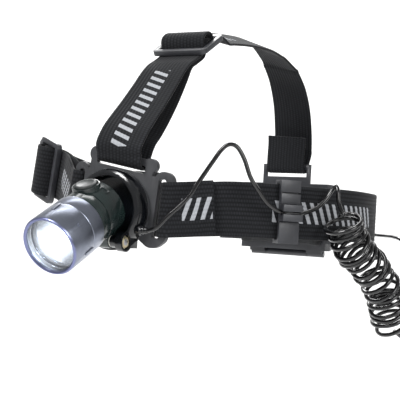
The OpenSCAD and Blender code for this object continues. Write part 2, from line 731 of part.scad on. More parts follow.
// ---------- battery case ----------

module battery_tray() {
    w = case_w;
    h = case_h;
    color(frame_grey) difference() {
        union() {
            translate([-w / 2, case_y, -h / 2]) cube([w, tray_d, h]);
            // side wings that carry the strap bars
            for (s = [-1, 1]) {
                translate([s > 0 ? w / 2 - 0.5 : -w / 2 - 12, case_y, -15.5])
                    cube([12.5, 2.4, 31]);
                translate([s > 0 ? rear_bar_x - 1.6 : -rear_bar_x - 1.6, rear_bar_y - 1.3, -15.5])
                    cube([3.2, 2.6, 31]);
                for (z = [-15.5, 13.2])
                    translate([s > 0 ? rear_bar_x - 1.6 : -rear_bar_x - 1.6, rear_bar_y - 1.3, z])
                        cube([3.2, case_y - rear_bar_y + 2, 2.3]);
            }
            // upright that carries the top strap's bar
            translate([-15.5, case_y, h / 2 - 0.5]) cube([31, 2.4, rear_top_z - h / 2 + 2.1]);
            // knuckles for the cover
            for (s = [-1, 1])
                along_x(2, s > 0 ? 14 : -24, s > 0 ? 24 : -14, hinge_y, hinge_z);
            for (s = [-1, 1])
                translate([s > 0 ? 14 : -24, hinge_y - 4, hinge_z]) cube([10, 4, 2.5]);
        }
        translate([cell_x0 - 4.3, case_y + wall, -h / 2 + wall])
            cube([cell_l + 5.1, tray_d, h - 2 * wall]);
        // window above the top strap's bar and slot below it
        translate([-slot_h / 2, case_y - 1, rear_top_z - 6]) cube([slot_h, 5, 4.4]);
        along_x(1.05, -30, 30, hinge_y, hinge_z);
        // room for the cover's knuckle
        translate([-14, hinge_y - 2.4, hinge_z - 3]) cube([28, 8, 5]);
        // way in for the cord
        along_x(gland_r - 0.65, 20, 40, tail_end[1], tail_end[2]);
        for (x = [-1, 1], z = [-1, 1])
            translate([x * (w / 2 - 1.4), case_y + 3, z * (h / 2 - 4)]) rotate([-90, 0, 0])
                cylinder(d = 1.5, h = 20, $fn = 24);
    }
}

module rear_pad() {
    color(foam_black) linear_extrude(34, center = true) difference() {
        translate([-26, loop_b - 9]) square([52, case_y - loop_b + 8.9]);
        scale_loop(1.4);
    }
}

module scale_loop(out) {
    polygon([for (t = [0:3:357]) [(loop_a + out) * cos(t), (loop_b + out) * sin(t)]]);
}

module rear_gland() {
    color(gloss_black) translate([0, tail_end[1], tail_end[2]]) rotate([0, 90, 0])
        rotate_extrude($fn = 48) relief_profile(24.5, tail_end[0] - relief_l);
}

module cell(i) {
    color("#3c6e8f") translate([cell_x0, cell_y, (i - 1) * cell_pitch]) rotate([0, 90, 0])
        rotate_extrude($fn = 64)
            polygon([[0, 0], [cell_d / 2 - 0.7, 0], [cell_d / 2, 0.5], [cell_d / 2, cell_l - 1.9],
                     [cell_d / 2 - 0.8, cell_l - 1.3], [1.9, cell_l - 1.2], [1.9, cell_l],
                     [0, cell_l]]);
}
module cell_1() { cell(0); }
module cell_2() { cell(1); }
module cell_3() { cell(2); }

module contact_springs() {
    wire = 0.35;
    turns = 3.5;
    color("silver") for (i = [0:2])
        tube([for (k = [0:42])
                let (a = 360 * turns * k / 42, r = 3.6 - 1.6 * k / 42)
                [cell_x0 - 3.8 + 3.4 * k / 42, cell_y + r * cos(a),
                 (i - 1) * cell_pitch + r * sin(a)]],
            wire, 6, [0, 1, 0.1]);
}

module contact_plates() {
    color("silver") for (i = [0:2]) {
        translate([cell_x0 + cell_l + 0.1, cell_y - 4, (i - 1) * cell_pitch - 4])
            cube([0.5, 8, 8]);
        translate([cell_x0 - 4.25, cell_y - 4.4, (i - 1) * cell_pitch - 4.4])
            cube([0.1, 8.8, 8.8]);
    }
}

module cover_seal() {
    color("black") translate([0, split_y, 0]) rotate([-90, 0, 0]) linear_extrude(0.4)
        difference() {
            square([case_w - 2.2, case_h - 1.2], center = true);
            square([case_w - 3.6, case_h - 2.8], center = true);
        }
}

module cover_pin() {
    color("silver") along_x(1, -24.5, 24.5, hinge_y, hinge_z, 32);
}

module battery_cover() {
    w = case_w;
    h = case_h;
    d = case_d - tray_d;
    color(frame_grey) difference() {
        union() {
            intersection() {
                translate([0, split_y + 0.5, 0]) rotate([-90, 0, 0])
                    linear_extrude(d - 0.5) rounded(w, h, 3.5);
                translate([0, split_y + d - 120, -50]) cylinder(r = 120, h = 100, $fn = 180);
            }
            // lip over the tray's top edge that snaps shut
            translate([-7, split_y - 3.5, h / 2 + 0.3]) cube([14, 7.5, 1.4]);
            translate([-7, split_y + 0.6, h / 2 - 1]) cube([14, 3.4, 2]);
            // knuckle and its leaf
            along_x(2, -13.7, 13.7, hinge_y, hinge_z);
            translate([-13.7, hinge_y + 0.5, hinge_z]) cube([27.4, 1.6, 3.5]);
            // thumb ribs
            for (k = [-2:2])
                translate([-6, split_y + d - 1.6, 9 + 1.8 * k]) cube([12, 1.9, 0.8]);
        }
        intersection() {
            translate([cell_x0 - 4.3, split_y - 1, -h / 2 + 1.8])
                cube([cell_l + 5.1, d + 1, h - 3.6]);
            translate([0, split_y + d - 121.8, -50]) cylinder(r = 120, h = 100, $fn = 180);
        }
        along_x(1.05, -30, 30, hinge_y, hinge_z);
    }
}

module tray_screws() {
    color("silver") for (x = [-1, 1], z = [-1, 1])
        translate([x * (case_w / 2 - 1.4), case_y + 3.1, z * (case_h / 2 - 4)])
            rotate([-90, 0, 0]) difference() {
                cylinder(d = 1.4, h = tray_d - 3.3, $fn = 24);
                translate([-0.5, -0.12, tray_d - 3.7]) cube([1, 0.24, 1]);
            }
}

front_plate();
forehead_pad();
lamp_cup();
cup_screws();
front_gland();
tilt_screw();
tilt_nut();
friction_washers();
lamp_housing();
rear_cap();
driver_board();
switch_module();
switch_cap();
heat_sink();
led_board();
led_emitter();
sleeve_oring();
reflector();
lens();
lens_gasket();
bezel();
focus_ring();
side_strap();
left_strap();
top_strap();
left_adjuster();
top_adjuster();
strap_clip();
cord_clamp();
cord_lead();
cord_coil();
cord_tail();
battery_tray();
rear_pad();
rear_gland();
cell_1();
cell_2();
cell_3();
contact_springs();
contact_plates();
cover_seal();
cover_pin();
battery_cover();
tray_screws();
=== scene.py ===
import json
import math
import bpy
import bmesh
from mathutils import Matrix, Vector


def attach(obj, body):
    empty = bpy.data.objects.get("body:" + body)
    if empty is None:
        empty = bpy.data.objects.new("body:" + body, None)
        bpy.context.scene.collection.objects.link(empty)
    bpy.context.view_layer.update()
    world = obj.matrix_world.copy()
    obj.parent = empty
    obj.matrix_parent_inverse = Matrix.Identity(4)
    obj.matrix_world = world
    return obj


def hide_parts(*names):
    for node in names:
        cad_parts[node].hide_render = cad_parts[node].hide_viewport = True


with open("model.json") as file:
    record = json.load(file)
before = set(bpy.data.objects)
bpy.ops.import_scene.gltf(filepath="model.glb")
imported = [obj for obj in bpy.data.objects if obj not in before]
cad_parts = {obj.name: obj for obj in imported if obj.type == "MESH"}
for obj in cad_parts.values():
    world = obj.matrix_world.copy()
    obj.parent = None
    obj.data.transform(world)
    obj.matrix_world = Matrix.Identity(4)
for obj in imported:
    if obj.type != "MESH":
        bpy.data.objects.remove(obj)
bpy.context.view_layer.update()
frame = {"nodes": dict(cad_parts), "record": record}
NODES = frame["nodes"]
scene = bpy.context.scene
scene.view_settings.view_transform = "Standard"

# ---------------------------------------------------------------- camera

# degrees round from the front, up, and tipped; metres away; millimetres of lens
AZ, EL, ROLL = math.radians(29.25), math.radians(-0.75), math.radians(3.2)
DIST, LENS, SHIFT = 0.56025, 94.3, (-0.0296, 0.0253)
back = Vector((math.sin(AZ) * math.cos(EL), -math.cos(AZ) * math.cos(EL), math.sin(EL)))
side = Vector((math.cos(AZ), math.sin(AZ), 0))
up = back.cross(side)
cam_x = side * math.cos(ROLL) + up * math.sin(ROLL)
cam_y = -side * math.sin(ROLL) + up * math.cos(ROLL)
camera = bpy.data.objects.new("camera", bpy.data.cameras.new("camera"))
camera.data.lens = LENS
camera.data.sensor_width = 36
camera.data.shift_x, camera.data.shift_y = SHIFT
camera.data.clip_start = 0.01
camera.matrix_world = Matrix((
    (cam_x.x, cam_y.x, back.x, back.x * DIST),
    (cam_x.y, cam_y.y, back.y, back.y * DIST),
    (cam_x.z, cam_y.z, back.z, back.z * DIST),
    (0, 0, 0, 1)))
scene.collection.objects.link(camera)
scene.camera = camera

# ---------------------------------------------------------------- helpers


def smooth(points, n):
    """Catmull-Rom through the points, n steps between each pair."""
    out = []
    for i in range(len(points) - 1):
        a, b = points[max(i - 1, 0)], points[i]
        c, d = points[i + 1], points[min(i + 2, len(points) - 1)]
        for k in range(n):
            t = k / n
            out.append(0.5 * (2 * b + (c - a) * t + (2 * a - 5 * b + 4 * c - d) * t * t
                              + (3 * b - a - 3 * c + d) * t ** 3))
    return out + [points[-1]]


def evened(points, step):
    """The same line with points about step apart."""
    total = sum((b - a).length for a, b in zip(points, points[1:]))
    n = max(2, round(total / step))
    gap = total / n
    out, run, k = [points[0]], 0.0, 1
    for a, b in zip(points, points[1:]):
        d = (b - a).length
        while d > 0 and k < n and run + d >= k * gap - 1e-12:
            out.append(a.lerp(b, (k * gap - run) / d))
            k += 1
        run += d
    return out + [points[-1]]


def tangents(points):
    n = len(points)
    return [(points[min(i + 1, n - 1)] - points[max(i - 1, 0)]).normalized() for i in range(n)]


def link(name, mesh):
    obj = bpy.data.objects.new(name, mesh)
    scene.collection.objects.link(obj)
    return obj


def finish_mesh(obj, angle=40):
    for p in obj.data.polygons:
        p.use_smooth = True
    obj.data.set_sharp_from_angle(angle=math.radians(angle))


def softened(node, name, width, segments=2, angle=32):
    """The CAD node's own shape as a new piece with rounded edges."""
    source = NODES[node]
    bm = bmesh.new()
    bm.from_mesh(source.data)
    bmesh.ops.remove_doubles(bm, verts=bm.verts, dist=1e-6)
    bmesh.ops.dissolve_limit(bm, angle_limit=math.radians(0.6), verts=bm.verts, edges=bm.edges)
    mesh = bpy.data.meshes.new(name)
    bm.to_mesh(mesh)
    bm.free()
    obj = link(name, mesh)
    obj.matrix_world = source.matrix_world.copy()
    mod = obj.modifiers.new("edges", "BEVEL")
    mod.width = width
    mod.segments = segments
    mod.limit_method = "ANGLE"
    mod.angle_limit = math.radians(angle)
    mod.use_clamp_overlap = True
    bpy.context.view_layer.update()
    done = bpy.data.meshes.new_from_object(obj.evaluated_get(bpy.context.evaluated_depsgraph_get()))
    obj.modifiers.clear()
    obj.data = done
    finish_mesh(obj, 50)
    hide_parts(node)
    return obj


# ---------------------------------------------------------------- materials


class Mat:
    """A small builder for node materials."""

    def __init__(self, name):
        self.mat = bpy.data.materials.new(name)
        self.mat.use_nodes = True
        self.nt = self.mat.node_tree
        self.bsdf = self.nt.nodes["Principled BSDF"]
        self.out = self.nt.nodes["Material Output"]
        self.at = self.nt.nodes.new("ShaderNodeTexCoord").outputs["Object"]

    def put(self, socket, value):
        if hasattr(value, "is_output") or hasattr(value, "links"):
            self.nt.links.new(value, socket)
        else:
            socket.default_value = value

    def set(self, name, value):
        self.put(self.bsdf.inputs[name], value)

    def node(self, kind, **inputs):
        n = self.nt.nodes.new("ShaderNode" + kind)
        for k, v in inputs.items():
            self.put(n.inputs[k.replace("_", " ")], v)
        return n

    def noise(self, scale, detail=3.0, rough=0.55, at=None):
        n = self.node("TexNoise", Scale=scale, Detail=detail, Roughness=rough)
        self.put(n.inputs["Vector"], at if at is not None else self.at)
        return n.outputs[0]

    def math(self, op, a, b=0.0, c=0.0):
        n = self.nt.nodes.new("ShaderNodeMath")
        n.operation = op
        for i, v in enumerate((a, b, c)):
            self.put(n.inputs[i], v)
        return n.outputs[0]

    def span(self, x, lo, hi, a=0.0, b=1.0, curve="LINEAR"):
        n = self.nt.nodes.new("ShaderNodeMapRange")
        n.interpolation_type = curve
        for i, v in enumerate((x, lo, hi, a, b)):
            self.put(n.inputs[i], v)
        return n.outputs[0]

    def mix(self, t, a, b):
        n = self.nt.nodes.new("ShaderNodeMix")
        n.data_type = "RGBA"
        self.put(n.inputs[0], t)
        self.put(n.inputs[6], a)
        self.put(n.inputs[7], b)
        return n.outputs[2]

    def bump(self, height, distance, strength=1.0, after=None):
        n = self.node("Bump", Strength=strength, Distance=distance, Height=height)
        if after is not None:
            self.put(n.inputs["Normal"], after)
        return n.outputs[0]


def rgb(r, g, b):
    return (r, g, b, 1.0)


def plastic(name, color, rough, grain=2600, depth=0.000012, mottle=0.18, coat=0.0, tint=None):
    """Moulded plastic: fine grain, slow mottling, handling wear in the roughness."""
    m = Mat(name)
    slow = m.noise(120, 4)
    fine = m.noise(grain, 2)
    wear = m.noise(420, 6, 0.7)
    dark = rgb(*[c * (1 - mottle) for c in color])
    light = rgb(*(tint or [min(1, c * (1 + mottle)) for c in color]))
    m.set("Base Color", m.mix(m.span(slow, 0.35, 0.65), dark, light))
    m.set("Roughness", m.span(wear, 0.3, 0.75, rough * 0.82, min(1.0, rough * 1.25)))
    m.set("Specular IOR Level", 0.38)
    m.set("Coat Weight", coat * 0.4)
    m.set("Coat Roughness", 0.12)
    m.set("Normal", m.bump(fine, depth, 0.6, m.bump(wear, depth * 2, 0.3)))
    return m.mat


def metal(name, color, rough, grain=3000, depth=0.000006, tint=None, metallic=1.0):
    m = Mat(name)
    slow = m.noise(90, 3)
    fine = m.noise(grain, 3)
    scuff = m.noise(700, 8, 0.75)
    m.set("Base Color", m.mix(m.span(slow, 0.3, 0.7), rgb(*color),
                              rgb(*(tint or [min(1, c * 1.15) for c in color]))))
    m.set("Metallic", metallic)
    m.set("Roughness", m.span(scuff, 0.35, 0.7, rough * 0.8, rough * 1.3))
    m.set("Normal", m.bump(fine, depth, 0.5, m.bump(scuff, depth, 0.25)))
    return m.mat


JOINTS = {j["name"]: j for j in frame["record"]["behaviour"]["joints"]}
FORWARD = Vector(JOINTS["focus_travel"]["axis"]).normalized()
REAR_BEHIND_PIN = 0.0071
LAMP_REAR = Vector(JOINTS["focus_twist"]["pos_m"]) - FORWARD * REAR_BEHIND_PIN
# where the rim's colour starts and is full, from the lamp's rear, and the window's edge
RIM_FROM, RIM_FULL, WINDOW_R = 0.0408, 0.0418, 0.0105

def on_lamp(m):
    """(distance along the lamp's axis from its rear, distance off it), in metres."""
    rel = m.nt.nodes.new("ShaderNodeVectorMath")
    rel.operation = "SUBTRACT"
    m.put(rel.inputs[0], m.at)
    m.put(rel.inputs[1], tuple(LAMP_REAR))
    along = m.nt.nodes.new("ShaderNodeVectorMath")
    along.operation = "DOT_PRODUCT"
    m.put(along.inputs[0], rel.outputs[0])
    m.put(along.inputs[1], tuple(FORWARD))
    off = m.nt.nodes.new("ShaderNodeVectorMath")
    off.operation = "CROSS_PRODUCT"
    m.put(off.inputs[0], rel.outputs[0])
    m.put(off.inputs[1], tuple(FORWARD))
    size = m.nt.nodes.new("ShaderNodeVectorMath")
    size.operation = "LENGTH"
    m.put(size.inputs[0], off.outputs[0])
    return along.outputs["Value"], size.outputs["Value"]


def turned_metal(name, color, rim, rough):
    """Anodised aluminium with fine turning lines round the lamp's axis."""
    m = Mat(name)
    s, _ = on_lamp(m)
    lines = m.math("SINE", m.math("MULTIPLY", s, 2 * math.pi / 0.00022))
    slow = m.noise(160, 4)
    scuff = m.noise(900, 8, 0.75)
    body = m.mix(m.span(slow, 0.3, 0.7), rgb(*color), rgb(*[c * 1.2 for c in color]))
    m.set("Base Color", m.mix(m.span(s, RIM_FROM, RIM_FULL), body, rgb(*rim)))
    m.set("Metallic", 1.0)
    m.set("Anisotropic", 0.4)
    m.set("Roughness", m.span(scuff, 0.3, 0.75, rough * 0.92, rough * 1.1))
    m.set("Normal", m.bump(lines, 0.0000012, 0.35, m.bump(scuff, 0.0000012, 0.2)))
    return m.mat


STRAP_W, STRAP_T, RIBS = 25.0, 1.45, 13
PICK = 1.25                      # length of one pick of the weave
BAR_STEP, BAR_SLANT, BAR_SHARE = 4.6, 0.4, 0.46
BACK_FACE = 200                  # added to the width's coordinate on a strap's second face


def webbing_material(name, prints=()):
    """Ribbed elastic webbing. UV is length and width in millimetres. prints are
    (from, to, low, high) stretches with a plain slanted pattern."""
    m = Mat(name)
    uv = m.nt.nodes.new("ShaderNodeUVMap")
    uv.uv_map = "lay"
    cut = m.nt.nodes.new("ShaderNodeSeparateXYZ")
    m.put(cut.inputs[0], uv.outputs[0])
    u, v = cut.outputs[0], cut.outputs[1]
    # raised ribs along the webbing, each with its own row of picks across it
    rib = m.math("DIVIDE", v, STRAP_W / RIBS)
    crest = m.math("ABSOLUTE", m.math("COSINE", m.math("MULTIPLY", rib, math.pi)))
    column = m.math("FLOOR", m.math("ADD", rib, 0.5))
    shift = m.math("MULTIPLY", m.math("MODULO", m.math("ABSOLUTE", column), 2.0), 0.5)
    row = m.math("ADD", m.math("DIVIDE", u, PICK), shift)
    pick = m.math("SINE", m.math("MULTIPLY", row, 2 * math.pi))
    fuzz = m.noise(5200, 3)
    slow = m.noise(70, 3)
    weave = m.math("MULTIPLY", crest, m.span(pick, -1, 1, 0.35, 1.0))
    tone = m.math("ADD", m.math("MULTIPLY", weave, 0.7), m.math("MULTIPLY", fuzz, 0.3))
    cloth = m.mix(m.span(tone, 0.1, 0.9, 0.0, 1.0), rgb(0.0012, 0.0014, 0.0018),
                  rgb(0.017, 0.018, 0.021))
    cloth = m.mix(m.span(slow, 0.3, 0.7, 0.0, 0.3), cloth, rgb(0.006, 0.0063, 0.0072))
    mask = 0.0
    for lo, hi, low, high in prints:
        long = m.math("MULTIPLY", m.math("GREATER_THAN", u, lo), m.math("LESS_THAN", u, hi))
        broad = m.math("MULTIPLY", m.math("GREATER_THAN", v, low), m.math("LESS_THAN", v, high))
        inside = m.math("MULTIPLY", long, broad)
        leaning = m.math("ADD", u, m.math("MULTIPLY", v, BAR_SLANT))
        slant = m.math("FRACT", m.math("DIVIDE", leaning, BAR_STEP))
        bar = m.math("LESS_THAN", slant, BAR_SHARE)
        one = m.math("MULTIPLY", inside, bar)
        mask = one if mask == 0.0 else m.math("MAXIMUM", mask, one)
    if prints:
        worn = m.math("MULTIPLY", mask, m.span(m.math("ADD", fuzz, m.math("MULTIPLY", weave, 0.2)),
                                               0.2, 0.7, 0.55, 1.0))
        cloth = m.mix(worn, cloth, rgb(0.30, 0.31, 0.33))
    m.set("Base Color", cloth)
    m.set("Roughness", m.span(fuzz, 0.3, 0.7, 0.78, 0.95))
    m.set("Sheen Weight", 0.08)
    m.set("Sheen Roughness", 0.4)
    m.set("Specular IOR Level", 0.15)
    m.set("Normal", m.bump(weave, 0.00012, 0.8, m.bump(fuzz, 0.00005, 0.6)))
    return m.mat


def glass_material(name):
    """Clear window with the light's glare in the middle."""
    m = Mat(name)
    _, r = on_lamp(m)
    smear = m.noise(260, 5)
    clear = m.node("BsdfTransparent", Color=rgb(0.93, 0.96, 1.0))
    shine = m.node("BsdfGlossy", Color=rgb(1, 1, 1), Roughness=m.span(smear, 0.3, 0.7, 0.03, 0.07))
    m.put(shine.inputs["Normal"], m.bump(smear, 0.00001, 0.4))
    fres = m.node("Fresnel", IOR=1.5)
    body = m.nt.nodes.new("ShaderNodeMixShader")
    m.put(body.inputs[0], m.math("MULTIPLY", fres.outputs[0], 0.9))
    m.put(body.inputs[1], clear.outputs[0])
    m.put(body.inputs[2], shine.outputs[0])
    spread = m.span(r, 0.0, WINDOW_R, 1.0, 0.0, "SMOOTHSTEP")
    glare = m.node("Emission", Color=rgb(0.86, 0.92, 1.0), Strength=m.math("MULTIPLY", spread, 0.7))
    add = m.nt.nodes.new("ShaderNodeAddShader")
    m.put(add.inputs[0], body.outputs[0])
    m.put(add.inputs[1], glare.outputs[0])
    m.put(m.out.inputs[0], add.outputs[0])
    return m.mat


def reflector_material(name):
    m = Mat(name)
    _, r = on_lamp(m)
    rings = m.math("SINE", m.math("MULTIPLY", r, 2 * math.pi / 0.0016))
    fine = m.noise(1800, 4)
    m.set("Base Color", m.mix(m.span(rings, -1, 1), rgb(0.62, 0.68, 0.78), rgb(0.92, 0.95, 1.0)))
    m.set("Metallic", 1.0)
    m.set("Roughness", m.span(fine, 0.3, 0.7, 0.12, 0.24))
    m.set("Normal", m.bump(rings, 0.00006, 0.5, m.bump(fine, 0.00001, 0.3)))
    # painted light: an emission, strongest near the middle and a little stronger on the lighter
    # rings, stands in for the LED's light in the reflector
    m.set("Emission Color", rgb(0.80, 0.88, 1.0))
    glow = m.span(r, 0.003, WINDOW_R, 1.25, 0.12, "SMOOTHSTEP")
    m.set("Emission Strength", m.math("MULTIPLY", glow, m.span(rings, -1, 1, 0.72, 1.0)))
    return m.mat


def light_material(name):
    m = Mat(name)
    fine = m.noise(2500, 2)
    m.set("Base Color", rgb(1.0, 0.96, 0.85))
    m.set("Emission Color", rgb(0.93, 0.96, 1.0))
    m.set("Emission Strength", m.span(fine, 0.3, 0.7, 9.0, 12.0))
    return m.mat


MATS = {
    "cord": plastic("cord_jacket", (0.0012, 0.0012, 0.0016), 0.17, 1500, 0.000006, 0.3, 0.5),
    "bracket": plastic("bracket_plastic", (0.03, 0.031, 0.034), 0.46, 2600, 0.00002, 0.15),
    "cup": plastic("cup_plastic", (0.0025, 0.003, 0.004), 0.16, 1800, 0.000006, 0.3, 0.5),
    "housing": plastic("lamp_plastic", (0.006, 0.010, 0.010), 0.2, 1600, 0.000006, 0.2, 0.5,
                       (0.009, 0.017, 0.016)),
    "frame": plastic("frame_plastic", (0.024, 0.025, 0.029), 0.4, 2400, 0.00002, 0.15, 0.1),
    "rubber": plastic("rubber", (0.006, 0.0085, 0.0085), 0.42, 3000, 0.00002, 0.2),
    "nylon": plastic("nylon", (0.72, 0.71, 0.66), 0.5),
    "board": plastic("circuit_board", (0.02, 0.12, 0.045), 0.4),
    "white": plastic("board_white", (0.78, 0.78, 0.78), 0.45),
    "cell": plastic("cell_wrap", (0.045, 0.14, 0.26), 0.3, 1500, 0.000006, 0.2, 0.3),
    "foam": plastic("pad_foam", (0.008, 0.0085, 0.0095), 0.92, 2000, 0.00012, 0.35),
    "steel": metal("steel", (0.56, 0.56, 0.57), 0.3),
    "brass": metal("brass", (0.78, 0.68, 0.46), 0.3),
    "sink": metal("cast_aluminium", (0.6, 0.6, 0.62), 0.45),
    "bezel": turned_metal("bezel_metal", (0.17, 0.185, 0.225), (0.15, 0.165, 0.29), 0.3),
    "reflector": reflector_material("reflector_chrome"),
    "lens": glass_material("lens_clear"),
    "light": light_material("led_light"),
}


def paint(obj, key):
    obj.data.materials.clear()
    obj.data.materials.append(MATS[key] if isinstance(key, str) else key)


# ---------------------------------------------------------------- cord

LEAD = [
    (22.1, -96.4, -12), (26.5, -96.4, -10.4), (31, -94.5, -5), (38, -90.5, 3.3),
    (42.1, -87.5, 11.6), (46.8, -85, 20.3), (49.9, -83, 25.9), (52.8, -81.3, 28.3),
    (55.8, -79.5, 27.1), (58.6, -77.5, 21.8), (61, -75.5, 14.2), (63.8, -72.5, 8.7),
    (66, -67, 3.2), (69.47, -59.61, -0.5), (72.51, -55.64, -0.5), (75.55, -51.67, -0.5),
    (79.8, -44.8, 2.4), (82.3, -40.2, 6.5), (84.2, -37.6, 11), (86, -37, 13.4),
    (87.4, -38, 11), (88.6, -39, 5.5)]
COIL = [
    (91.3, -39.7, 0.3), (91.3, -37.4, -5.5), (92.4, -31.8, -12.5), (93.8, -26, -17.3),
    (95.8, -19.3, -21.7), (97.8, -11.5, -27.1), (100, -6, -34.2), (100.8, -1, -41.5),
    (101, 4, -48.9), (102, 10, -55.5)]
TAIL = [
    (104.5, 16, -58.5), (107, 23, -55.5), (107, 28.5, -45), (103.5, 30.5, -30),
    (99.5, 31, -17.5), (94.8, 34.5, -10.8), (87, 44, -9), (78.5, 55, -8.7), (68.5, 67, -8.5),
    (57, 79.5, -8), (47, 89.5, -7.3), (41, 94.3, -7), (37, 95.2, -7), (32.6, 95.2, -7)]
COIL_R, TURNS, STEPS = 8.4, 19, 22
CORD_D = 2.0


def coil_points():
    """The curly stretch: a helix of uneven turns round its middle line."""
    mid = evened(smooth([Vector(p) for p in COIL], 12), 0.15)
    along = tangents(mid)
    n = Vector((-0.55, -0.8, 0)).normalized()
    out = []
    count = TURNS * STEPS
    for i in range(count + 1):
        t = i / count
        # the turns bunch a little towards the middle of the hang
        s = t + 0.018 * math.sin(4 * math.pi * t)
        k = min(len(mid) - 1, max(0, round(s * (len(mid) - 1))))
        d = along[k]
        n = (n - n.dot(d) * d).normalized()
        b = d.cross(n)
        a = 2 * math.pi * TURNS * t
        turn = TURNS * t
        ends = min(1.0, turn / 0.7, (TURNS - turn) / 0.7)
        ease = ends * ends * (3 - 2 * ends)
        r = COIL_R * ease * (1 + 0.045 * math.sin(2.3 * turn) + 0.03 * math.sin(5.1 * turn + 1))
        lean = 1.5 * math.sin(1.7 * turn + 0.6) * ease
        out.append(mid[k] + r * (math.cos(a) * n + math.sin(a) * b) + lean * math.cos(a + 0.8) * d)
    return out


lead = evened(smooth([Vector(p) for p in LEAD + COIL[:1]], 10), 1.2)
tail = evened(smooth([Vector(p) for p in COIL[-1:] + TAIL], 10), 1.6)
line = [p / 1000 for p in lead[:-1] + coil_points() + tail[1:]]
curve = bpy.data.curves.new("cord", "CURVE")
curve.dimensions = "3D"
spline = curve.splines.new("POLY")
spline.points.add(len(line) - 1)
for point, at in zip(spline.points, line):
    point.co = (*at, 1)
    point.radius = 1
curve.bevel_depth = CORD_D / 2 / 1000
curve.bevel_resolution = 3
curve.use_fill_caps = True
spline.use_smooth = True
cord = link("cord", curve)
curve.materials.append(MATS["cord"])
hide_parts("cord_lead", "cord_coil", "cord_tail")
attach(cord, "headband")

# ---------------------------------------------------------------- webbing


def strap_section():
    """One closed section as (across, out): ribs on both faces, rounded edges."""
    half, t = STRAP_W / 2, STRAP_T / 2
    flat = half - 0.5
    n = RIBS * 4
    top = []
    for i in range(n + 1):
        w = -flat + 2 * flat * i / n
        rib = abs(math.cos(math.pi * RIBS * i / n))
        top.append((w, t - 0.13 + 0.13 * (1 - rib ** 3)))
    edge = [(half - 0.15, t * 0.62), (half, t * 0.2), (half, -t * 0.2), (half - 0.15, -t * 0.62)]
    under = [(-w, -h) for w, h in top]
    return top + edge + under + [(-w, -h) for w, h in edge]


def wide(points, first, last):
    """The points, each with the way that the webbing's width runs."""
    n = max(1, len(points) - 1)
    return [(p, first.lerp(last, i / n)) for i, p in enumerate(points)]


def strap(name, path, prints, node):
    """Webbing along a path of wide() points, in millimetres."""
    points = smooth([q[0] for q in path], 3)
    ways = smooth([q[1] for q in path], 3)
    line, across, gone = evened(points, 0.9), [], 0.0
    at, k = 0.0, 0
    for i, p in enumerate(line):
        if i:
            at += (p - line[i - 1]).length
        while k < len(points) - 2 and gone + (points[k + 1] - points[k]).length < at:
            gone += (points[k + 1] - points[k]).length
            k += 1
        d = (points[k + 1] - points[k]).length
        across.append(ways[k].lerp(ways[k + 1], min(1.0, max(0.0, (at - gone) / d if d else 0))))
    section = strap_section()
    k = len(section)
    t = tangents(line)
    verts, run, runs = [], 0.0, []
    for i, p in enumerate(line):
        if i:
            run += (p - line[i - 1]).length
        runs.append(run)
        n = t[i].cross(across[i]).normalized()
        b = n.cross(t[i]).normalized()
        # the width breathes slightly
        breadth = 1 + 0.006 * math.sin(run / 9) - 0.006
        for w, h in section:
            verts.append((p + b * (w * breadth) + n * h) / 1000)
    faces = []
    for i in range(len(line) - 1):
        for j in range(k):
            a, c = i * k + j, i * k + (j + 1) % k
            faces.append((a, a + k, c + k, c))
    faces.append(tuple(range(k)))
    faces.append(tuple(reversed(range((len(line) - 1) * k, len(line) * k))))
    mesh = bpy.data.meshes.new(name)
    mesh.from_pydata(verts, [], faces)
    uv = mesh.uv_layers.new(name="lay")
    for poly in mesh.polygons:
        for li in poly.loop_indices:
            vi = mesh.loops[li].vertex_index
            i, j = divmod(vi, k)
            # the second face has widths of its own, so that each face has its own print
            w, h = section[j]
            uv.data[li].uv = (runs[i], w if h > 0 else w + BACK_FACE)
    obj = link(name, mesh)
    obj.data.validate()
    bm = bmesh.new()
    bm.from_mesh(obj.data)
    bmesh.ops.recalc_face_normals(bm, faces=bm.faces)
    bm.to_mesh(obj.data)
    bm.free()
    finish_mesh(obj, 60)
    paint(obj, webbing_material(name + "_cloth", prints))
    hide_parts(node)
    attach(obj, "headband")
    return obj, run / 1000


LOOP_A, LOOP_B = 86.0, 86.0
RIGHT_BAR = Vector((25.503, -86.486, -2.231))
LEFT_BAR = Vector((-25.503, -86.486, 2.231))
TOP_BAR = Vector((1.822, -89.6, 20.82))
REAR_BAR = Vector((36.0, 80.5, 0))
LOOP_R = 3.25


def loop_pt(turn, out=0.0):
    c, s = math.cos(math.radians(turn)), math.sin(math.radians(turn))
    n = Vector((c / LOOP_A, s / LOOP_B, 0)).normalized()
    return Vector((LOOP_A * c, LOOP_B * s, 0)) + n * out


def arc(centre, r, start, end, n, plane="xy"):
    out = []
    for i in range(n + 1):
        t = math.radians(start + (end - start) * i / n)
        step = (math.cos(t), math.sin(t), 0) if plane == "xy" else (0, math.cos(t), math.sin(t))
        out.append(Vector(centre) + Vector(step) * r)
    return out


def heading(turn, rise):
    c, r = math.radians(turn), math.radians(rise)
    return Vector((math.cos(r) * math.cos(c), math.cos(r) * math.sin(c), math.sin(r)))


def placed(points, pos, along, out):
    return [Vector(pos) + along * a + out * h for a, h in points]


UNDER = -2.35
LAYER = 1.75
HUMPED = [(-15.5, UNDER), (-8.6, UNDER), (-6.8, UNDER + 0.85), (-5.6, UNDER + 2.6), (-4.9, 3),
          (-3.4, 5), (-1, 5.7), (1, 5.7), (3.4, 5), (4.9, 3), (5.6, UNDER + 2.6),
          (6.8, UNDER + 0.85), (8.6, UNDER), (15.5, UNDER)]
SEWN = [(-15.5, UNDER - LAYER), (-8.6, UNDER - LAYER), (-6.2, -3.4), (-4.4, -1.8), (-3.3, 0),
        (-2.6, 1.3), (-1.4, 2.2), (0, 2.35), (1.4, 2.2), (2.6, 1.3), (3, 0), (3, -1.8)]

